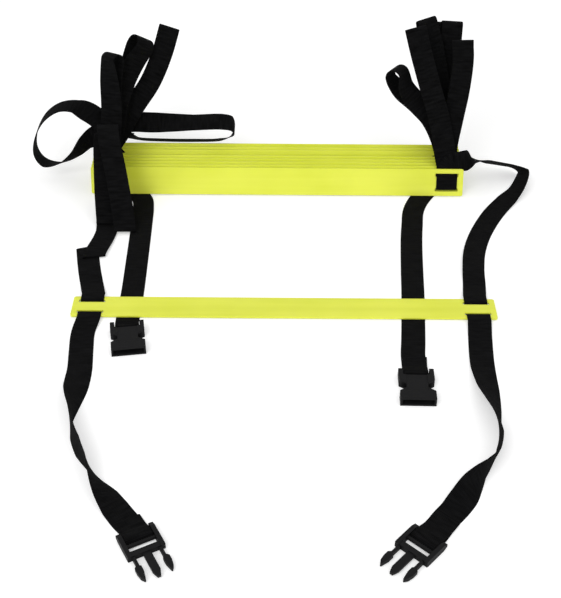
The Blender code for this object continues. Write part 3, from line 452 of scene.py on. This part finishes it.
def bar_wrap(name):
    """Rows of a strap that comes along the floor, goes under and round a buckle's bar and folds back."""
    matrix = buckle_matrix(name)
    across = matrix.to_3x3() @ ALONG_X
    tail = BUCKLES[name][-1]
    low = HALF_WEBBING - matrix.translation.z
    over = low + WEBBING_THICKNESS + LAYER_GAP
    rows = [(0, -BUCKLE_RUN_IN[name], low), (0, -WRAP_RADIUS, (low - WRAP_RADIUS - WEAVE_GAP) / 2)]
    for step in range(2 * WRAP_STEPS + 1):
        angle = -math.pi / 2 + math.pi * step / (2 * WRAP_STEPS)
        rows.append((0, WRAP_RADIUS * math.cos(angle), WRAP_RADIUS * math.sin(angle)))
    for share, drop_share in TAIL_SHARES:
        drop = (over - WRAP_RADIUS) * drop_share
        rows.append((-TAIL_SHIFT[name] * share * share, -tail * share, WRAP_RADIUS + drop))
    return [(matrix @ Vector(row), across) for row in rows]


# Free end straps, links to the stack and rear straps

FRONT_ROUTES = {
    "left": [
        (-204.3, -48), (-202.5, -75), (-199.5, -106, 4), (-198.5, -132, 24), (-198.5, -158, 56),
        (-197, -180, 84), (-192.5, -203, 100), (-184, -224, 102), (-173.5, -243, 88), (-163, -260, 58),
        (-152.5, -275, 24), (-142.5, -289, 3), (-133.5, -301),
    ],
    "right": [
        (206.8, -50), (204.5, -75), (203, -99, 4), (203.2, -133, 22), (204, -163, 48),
        (204.5, -190, 76), (202.5, -213, 98), (196, -233, 104), (185, -249, 88), (173.5, -263, 56),
        (162.5, -276, 20), (152.5, -288, 2), (143.5, -298.5),
    ],
}
REAR_ROUTES = {
    "left": [
        (-208, 256), (-201, 243), (-189.5, 230), (-177, 219), (-167.5, 204), (-164.5, 185),
        (-163.2, 152), (-161.5, 85), (-160.2, 19), (-160.3, -14),
    ],
    "right": [
        (198.5, 258), (193, 247), (184, 235), (171.5, 216), (163, 199), (157.2, 180), (154, 155),
        (150.5, 123), (146.5, 70), (143.3, 20), (140.2, -20), (136.8, -60), (134.8, -80),
    ],
}

# The left link lies flat, is folded back on itself twice and then climbs over the front rung. Each fold has
# the direction of its line.

LEFT_LINK_FLAT = [(-206.5, 36), (-211.5, 57), (-216.6, 82), (-220.2, 101.5)]
LEFT_LINK_BACK = [(-215, 94, 2, (0.9, 0.43, 0)), (-210.3, 83, 2, (0.95, 0.3, 0))]
LEFT_LINK_FOLDS = ((0.948, 0.319, 0), (0.989, 0.149, 0))
LEFT_LINK_UP = [
    (-209, 92, 3.5, (0.98, -0.16, 0)), (-204, 118, 2.6, (0.985, -0.16, 0)),
    (-202.5, 136, 1.2, (0.99, -0.1, 0)), (-203.5, 150, 2), (-206, 170, 16.5), (-208, 195, 42),
    (-209.5, 213, 59.5), (-210, 226, 65.5), (-210, 232.7, 57), (-210, 232, 46),
]

# The right link lies on the floor as it bows out to the right, turns on edge and comes back to the front rung

RIGHT_LINK = [
    (212, 38), (214.5, 66, -8), (219.5, 97, -4), (228, 126), (238, 150), (253.7, 180), (273, 208, 6),
    (288, 228, 30),
]
RIGHT_LINK_TOP = [
    (295.5, 243, 12, (0.5, -0.6, 0.6)), (297.5, 256, 13, (0.1, -0.75, 0.65)),
    (288, 263, 14.5, (0, -0.79, 0.62)), (272, 262, 18.5, (0, -0.79, 0.62)),
    (255, 256, 25, (0, -0.79, 0.62)), (242, 246, 33, (0.05, -0.85, 0.5)),
    (233, 240, 37, (0.03, -0.95, 0.3)), (226.5, 236.2, 39.2, (0, -0.9, -0.43)),
    (221, 233.2, 40.3, (0, -0.4, -0.92)),
]


def link_route(name, side):
    """The strap between the loose rung and the front rung of the stack."""
    route = Route()
    start = loose_weave(side)[-1][0]
    route.plain([(start + Vector((0, SEAM_GAP, 0)), ALONG_X)])
    if name == "right":
        turn = side_turn(side)
        route.smooth(lying(RIGHT_LINK) + free(RIGHT_LINK_TOP) + turn[:1], ahead=turn[1][0])
        route.plain(turn[1:])
        return route
    weave = stack_weave(2, side)
    end = weave[0][0] + (weave[0][0] - weave[1][0]).normalized() * SEAM_GAP
    route.smooth(lying(LEFT_LINK_FLAT))
    route.turned_back(LEFT_LINK_FOLDS[0])
    route.smooth(free(LEFT_LINK_BACK))
    route.turned_back(LEFT_LINK_FOLDS[1])
    route.smooth(free(LEFT_LINK_UP) + [(end, ALONG_X)], ahead=weave[1][0])
    return route


def end_route(start, points, buckle):
    """A free strap from a seam along the floor, round a buckle's bar and back on itself."""
    route = Route()
    route.plain([(start - Vector((0, SEAM_GAP, 0)), -ALONG_X)])
    wrap = bar_wrap(buckle)
    route.smooth(lying(points) + wrap[:1], ahead=wrap[1][0])
    route.plain(wrap[1:])
    return route


# Webbing surface: the weave's pitches, the ribs' depth as a share of the half thickness, and the profile

RIB_PITCH = 1.3 * MM
RIB_DEPTH = 0.09
THREAD_PITCH = 1.1 * MM
THREAD_SHARE = 0.3
FUZZ_SHARE = 1.2
SLUB_SHARE = 9
SLUB_STRETCH = 0.15
PROFILE_POINTS = 16
FLATNESS = 0.22
ROUNDNESS = 0.55
LEAST_SINE = 0.5
SAME_POINT = 1e-7


def row_lengths(rows):
    """Length of each row of an array."""
    return np.linalg.norm(rows, axis=1)


def even_rows(route):
    """Centres, widths and run of a route at every half rib.

    The run is the length along the route, and centres and widths are read off it in equal steps.
    """
    points = np.array([tuple(point) for point in route.points])
    widths = np.array([tuple(width) for width in route.widths])
    keep = np.concatenate([[True], row_lengths(np.diff(points, axis=0)) > SAME_POINT])
    points, widths = points[keep], widths[keep]
    run = np.concatenate([[0], np.cumsum(row_lengths(np.diff(points, axis=0)))])
    steps = np.linspace(0, run[-1], int(round(run[-1] / RIB_PITCH)) * 2 + 1)
    centres = np.stack([np.interp(steps, run, points[:, axis]) for axis in range(3)], axis=1)
    across = np.stack([np.interp(steps, run, widths[:, axis]) for axis in range(3)], axis=1)
    across /= row_lengths(across)[:, None]
    return centres, across, steps


def signed_power(values, power):
    """Each value's size to a power, with the value's own sign."""
    return np.sign(values) * np.abs(values) ** power


def placed(name, data):
    """A new object in the scene."""
    made = bpy.data.objects.new(name, data)
    bpy.context.collection.objects.link(made)
    return made


def webbing(name, route, material):
    """A woven strap: a flat loop carried along a route, thicker at each rib.

    At an angle a round the loop, the distance across is half the width times cos a to the power of the
    flatness, and the height is half the thickness times sin a to the power of the roundness, with their signs
    kept. From row to row the height is in turn larger and smaller by the rib depth. A width that slants to
    the heading is lengthened by one over the sine of the angle between them, to twice at most. A row that
    would dip below the floor is lifted onto it.
    """
    centres, across, run = even_rows(route)
    headings = np.gradient(centres, axis=0)
    headings /= row_lengths(headings)[:, None]
    up = np.cross(headings, across)
    sine = row_lengths(up)
    up /= sine[:, None]
    side = across * (HALF_STRAP / np.clip(sine, LEAST_SINE, 1))[:, None]
    angles = np.linspace(0, 2 * np.pi, PROFILE_POINTS, endpoint=False) + np.pi / PROFILE_POINTS
    reach = signed_power(np.cos(angles), FLATNESS)
    height = signed_power(np.sin(angles), ROUNDNESS)
    thick = HALF_WEBBING * (1 + RIB_DEPTH * np.cos(np.pi * np.arange(len(run))))
    rows = centres[:, None] + side[:, None] * reach[None, :, None]
    rows = rows + up[:, None] * (thick[:, None] * height[None, :])[:, :, None]
    rows[:, :, 2] -= np.minimum(rows[:, :, 2].min(axis=1), 0)[:, None]
    rows -= np.array((ORIGIN_X, ORIGIN_Y, 0))
    count, ring = rows.shape[:2]
    first = (np.arange(count - 1)[:, None] * ring + np.arange(ring)[None, :]).reshape(-1)
    second = (np.arange(count - 1)[:, None] * ring + (np.arange(ring)[None, :] + 1) % ring).reshape(-1)
    quads = np.stack([first, second, second + ring, first + ring], axis=1)
    ends = [list(range(ring))[::-1], list(range((count - 1) * ring, count * ring))]
    mesh = bpy.data.meshes.new(name)
    mesh.from_pydata(rows.reshape(-1, 3).tolist(), [], quads.tolist() + ends)
    for label, values in (("run", np.repeat(run, ring)), ("across", np.tile(reach * HALF_STRAP, count))):
        mesh.attributes.new(label, "FLOAT", "POINT").data.foreach_set("value", values.astype(np.float32))
    mesh.shade_smooth()
    mesh.materials.append(material)
    return placed(name, mesh)


# Materials

SRGB_KNEE = 0.04045
SRGB_SLOPE = 12.92
SRGB_OFFSET = 0.055
SRGB_POWER = 2.4
WHITE = (1, 1, 1, 1)
# Radius that the edges of moulded pieces seem to have
EDGE_RADIUS = 0.6 * MM


def linear(hex_colour):
    """A hex sRGB colour as linear red, green, blue and alpha, by the two pieces of the sRGB curve."""
    channels = []
    for i in (1, 3, 5):
        share = int(hex_colour[i : i + 2], 16) / 255
        curved = ((share + SRGB_OFFSET) / (1 + SRGB_OFFSET)) ** SRGB_POWER
        channels.append(share / SRGB_SLOPE if share <= SRGB_KNEE else curved)
    return (*channels, 1)


def plug(tree, node, inputs):
    """Set or link a node's inputs, given as pairs of socket and value."""
    for socket, value in inputs:
        if isinstance(value, bpy.types.NodeSocket):
            tree.links.new(value, node.inputs[socket])
        else:
            node.inputs[socket].default_value = value


def add(tree, kind, inputs=(), **settings):
    """Add a node, set its properties and give it its inputs."""
    made = tree.nodes.new(kind)
    for key, value in settings.items():
        setattr(made, key, value)
    plug(tree, made, inputs)
    return made


def calc(tree, operation, *values):
    """Result of a math node on numbers or sockets."""
    return add(tree, "ShaderNodeMath", enumerate(values), operation=operation).outputs[0]


def noise(tree, place, scale, detail):
    """Grey level of a noise texture."""
    inputs = [("Vector", place), ("Scale", scale), ("Detail", detail)]
    return add(tree, "ShaderNodeTexNoise", inputs).outputs["Fac"]


def ranged(tree, value, source=(0, 1), target=(0, 1)):
    """A value carried from one range of numbers to another."""
    ends = [("From Min", source[0]), ("From Max", source[1]), ("To Min", target[0]), ("To Max", target[1])]
    return add(tree, "ShaderNodeMapRange", [("Value", value)] + ends).outputs["Result"]


def mixed(tree, level, dark, light):
    """A colour between two hex colours, at a level from 0 to 1."""
    shades = [(0, level), (6, linear(dark)), (7, linear(light))]
    return add(tree, "ShaderNodeMix", shades, data_type="RGBA").outputs[2]


def soft_edges(tree):
    """A normal that makes the edges of a piece look rounded."""
    return add(tree, "ShaderNodeBevel", [("Radius", EDGE_RADIUS)], samples=4).outputs["Normal"]


def bumped(tree, height, strength, depth, *under):
    """A normal with fine relief, on top of another normal if one is given."""
    inputs = [("Height", height), ("Strength", strength), ("Distance", depth)]
    inputs += [("Normal", normal) for normal in under]
    return add(tree, "ShaderNodeBump", inputs).outputs["Normal"]


def new_material(name):
    """An empty material with its node tree and its Principled shader."""
    material = bpy.data.materials.new(name)
    material.use_nodes = True
    return material, material.node_tree, material.node_tree.nodes["Principled BSDF"]


def woven_polyester():
    """Woven polyester webbing: ribs across it, finer threads along it, and a dull black with uneven ribs.

    The relief is the cosine of the run over the rib pitch, plus a share of the cosine of the distance across
    over the thread pitch, plus fuzz. The colour follows the relief and slubs: it is darker in the grooves
    between ribs and threads, which is painted shade, and lighter or darker at random with the fuzz and with
    slubs, yarns of uneven thickness that are stretched across the strap.
    """
    material, tree, shader = new_material("woven polyester webbing")
    run = add(tree, "ShaderNodeAttribute", attribute_name="run").outputs["Fac"]
    across = add(tree, "ShaderNodeAttribute", attribute_name="across").outputs["Fac"]
    place = add(tree, "ShaderNodeTexCoord").outputs["Object"]
    rib = calc(tree, "COSINE", calc(tree, "MULTIPLY", run, 2 * math.pi / RIB_PITCH))
    thread = calc(tree, "COSINE", calc(tree, "MULTIPLY", across, 2 * math.pi / THREAD_PITCH))
    weave = calc(tree, "MULTIPLY_ADD", thread, THREAD_SHARE, rib)
    fuzz = noise(tree, place, scale=900, detail=2)
    relief = calc(tree, "MULTIPLY_ADD", fuzz, FUZZ_SHARE, weave)
    squeezed = calc(tree, "MULTIPLY", across, SLUB_STRETCH)
    spot = add(tree, "ShaderNodeCombineXYZ", [("X", run), ("Y", squeezed)]).outputs[0]
    slub = noise(tree, spot, scale=420, detail=2)
    # Colour level: painted shade in the grooves between ribs and threads, plus random tone from fuzz and
    # slubs
    shade = ranged(tree, calc(tree, "MULTIPLY_ADD", slub, SLUB_SHARE, relief), source=(2, 8))
    plug(tree, shader, [
        ("Base Color", mixed(tree, shade, "#020202", "#151516")),
        ("Normal", bumped(tree, relief, strength=0.8, depth=0.2 * MM)),
        ("Roughness", 0.78),
        ("Sheen Weight", 0.01),
        ("Sheen Roughness", 0.5),
        ("Specular IOR Level", 0.03),
    ])
    return material


def satin_polypropylene():
    """Extruded polypropylene strip: bright satin lime that lets a little light in, faint streaks along it."""
    material, tree, shader = new_material("satin lime polypropylene")
    place = add(tree, "ShaderNodeTexCoord").outputs["Object"]
    drawn = add(tree, "ShaderNodeMapping", [("Vector", place), ("Scale", (4, 90, 90))]).outputs[0]
    streak = noise(tree, drawn, scale=1, detail=3)
    cloud = noise(tree, place, scale=14, detail=2)
    shade = ranged(tree, calc(tree, "ADD", streak, cloud), source=(0.7, 1.3))
    grain = noise(tree, place, scale=1400, detail=1)
    plug(tree, shader, [
        ("Base Color", mixed(tree, shade, "#DBE23E", "#E8EE52")),
        ("Normal", bumped(tree, grain, 0.12, 0.05 * MM, soft_edges(tree))),
        ("Roughness", ranged(tree, streak, target=(0.3, 0.44))),
        ("Subsurface Weight", 0.5),
        ("Subsurface Radius", (1, 1, 0.3)),
        ("Subsurface Scale", 3 * MM),
    ])
    return material


def moulded_acetal():
    """Injection-moulded acetal: near black and matt, with a fine spark-eroded grain of about 0.4 mm."""
    material, tree, shader = new_material("matt moulded acetal")
    place = add(tree, "ShaderNodeTexCoord").outputs["Object"]
    cloud = noise(tree, place, scale=160, detail=2)
    grain = noise(tree, place, scale=2200, detail=2)
    plug(tree, shader, [
        ("Base Color", mixed(tree, cloud, "#0D0D0E", "#171718")),
        ("Normal", bumped(tree, grain, 0.35, 0.08 * MM, soft_edges(tree))),
        ("Roughness", ranged(tree, cloud, target=(0.42, 0.6))),
        ("Specular IOR Level", 0.13),
    ])
    return material


# Pieces on the frame

ROOT = "webbing"
LOOSE = "loose_rung"


def free_strap(name, node, route, body, material):
    """A free end strap: dressed webbing held by a body, in place of the solid's strap."""
    made = webbing(name, route, material)
    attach(made, body)
    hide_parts(node)


def dress_straps(material):
    """Replace every strap of the solids by ribbed webbing on the same route."""
    for name, side in SIDES.items():
        near, far = loose_weave(side)[0][0], rear_weave(side)[-1][0]
        front = end_route(near, FRONT_ROUTES[name], f"{name}_male")
        rear = end_route(far, REAR_ROUTES[name], f"{name}_female")
        free_strap(f"{name}_front_ribbed", f"{name}_front_strap", front, LOOSE, material)
        free_strap(f"{name}_rear_ribbed", f"{name}_rear_strap", rear, ROOT, material)
        weave = Route()
        weave.plain(loose_weave(side))
        bundle = bundle_route(name, side)
        pieces = (("rung_1", "rung_1_webbing", weave, LOOSE), ("bundle", "bundle_webbing", bundle, ROOT))
        for label, node, route, body in pieces:
            made = webbing(f"{name}_{label}_ribbed", route, material)
            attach(made, body)
            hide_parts(f"{name}_{node}")
        link = webbing(f"{name}_link_ribbed", link_route(name, side), material)
        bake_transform(link)
        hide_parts(f"{name}_link_webbing")


def finish_nodes(lime, black):
    """Give the rungs and buckles of the solids their materials."""
    for name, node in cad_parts.items():
        if name.startswith("rung_") or "male" in name:
            node.data.materials.clear()
            node.data.materials.append(lime if name.startswith("rung_") else black)


# Floor, light and camera

# The camera's height, and how far it stands in front of the routes' zero point
CAMERA_HEIGHT = 0.765
CAMERA_BACK = 0.968
CAMERA_TILT = math.radians(38)
CAMERA_ROLL = math.radians(0.4)
# Lens and sensor in millimetres
CAMERA_LENS = 74.05
SENSOR_WIDTH = 36
# Brightness of the white room on the object, and the paper's own glow to the camera
ROOM_LEVEL = 0.7
PAPER_GLOW = 0.3
FLOOR_REACH = 4
FLOOR_CELLS = 8
# Lamps: name, place, power in watts and width
LAMPS = (("key lamp", (-0.9, -1.5, 1.5), 20, 1.3), ("fill lamp", (1.3, -1.3, 1.4), 9, 1.6))


def seamless_paper():
    """White seamless paper: it shows as white to the camera and keeps the shadows that fall on it."""
    material, tree, shader = new_material("white seamless paper")
    place = add(tree, "ShaderNodeTexCoord").outputs["Object"]
    fibre = noise(tree, place, scale=900, detail=2)
    seen = add(tree, "ShaderNodeLightPath").outputs["Is Camera Ray"]
    plug(tree, shader, [
        ("Base Color", linear("#F2F2F2")),
        ("Normal", bumped(tree, fibre, strength=0.05, depth=0.05 * MM)),
        ("Roughness", 0.9),
        ("Emission Color", WHITE),
        ("Emission Strength", calc(tree, "MULTIPLY", seen, PAPER_GLOW)),
    ])
    return material


def floor_sheet():
    """A flat sheet of paper under everything, eight metres square, as a grid of x and y."""
    side = np.linspace(-FLOOR_REACH, FLOOR_REACH, FLOOR_CELLS + 1)
    x, y = np.meshgrid(side, side)
    points = np.stack([x, y, np.zeros_like(x)], axis=-1).reshape(-1, 3)
    cells = np.arange(FLOOR_CELLS)
    corner = (cells[:, None] * len(side) + cells[None, :]).reshape(-1)
    above = corner + len(side)
    quads = np.stack([corner, corner + 1, above + 1, above], axis=1)
    mesh = bpy.data.meshes.new("floor")
    mesh.from_pydata(points.tolist(), [], quads.tolist())
    mesh.materials.append(seamless_paper())
    made = placed("floor", mesh)


def studio_light():
    """A white room and two large soft lamps, the stronger one on the left.

    To the camera the room is pure white, and on the object it has its own, lower level.
    """
    world = bpy.data.worlds.new("white room")
    world.use_nodes = True
    bpy.context.scene.world = world
    tree = world.node_tree
    seen = add(tree, "ShaderNodeLightPath").outputs["Is Camera Ray"]
    level = calc(tree, "MULTIPLY_ADD", seen, 1 - ROOM_LEVEL, ROOM_LEVEL)
    plug(tree, tree.nodes["Background"], [("Color", WHITE), ("Strength", level)])
    for name, place, power, width in LAMPS:
        lamp = bpy.data.lights.new(name, "AREA")
        lamp.energy = power
        lamp.size = width
        held = placed(name, lamp)
        aim = (-Vector(place)).to_track_quat("-Z", "Y").to_matrix().to_4x4()
        held.matrix_world = Matrix.Translation(place) @ aim


def photo_camera():
    """The camera of the photograph: 38 degrees down, 0.765 m above the floor, turned 0.4 degrees."""
    right = ALONG_X
    up = Vector((0, math.sin(CAMERA_TILT), math.cos(CAMERA_TILT)))
    ahead = Vector((0, math.cos(CAMERA_TILT), -math.sin(CAMERA_TILT)))
    turned_right = math.cos(CAMERA_ROLL) * right + math.sin(CAMERA_ROLL) * up
    turned_up = math.cos(CAMERA_ROLL) * up - math.sin(CAMERA_ROLL) * right
    camera = bpy.data.cameras.new("photo camera")
    camera.sensor_fit = "HORIZONTAL"
    camera.sensor_width = SENSOR_WIDTH
    camera.lens = CAMERA_LENS
    held = placed("photo camera", camera)
    axes = Matrix((turned_right, turned_up, -ahead)).transposed().to_4x4()
    place = Vector((-ORIGIN_X, -CAMERA_BACK - ORIGIN_Y, CAMERA_HEIGHT))
    held.matrix_world = Matrix.Translation(place) @ axes
    bpy.context.scene.camera = held


photo_camera()
dress_straps(woven_polyester())
finish_nodes(satin_polypropylene(), moulded_acetal())
floor_sheet()
studio_light()
bpy.context.scene.view_settings.view_transform = "Standard"
bpy.context.view_layer.update()
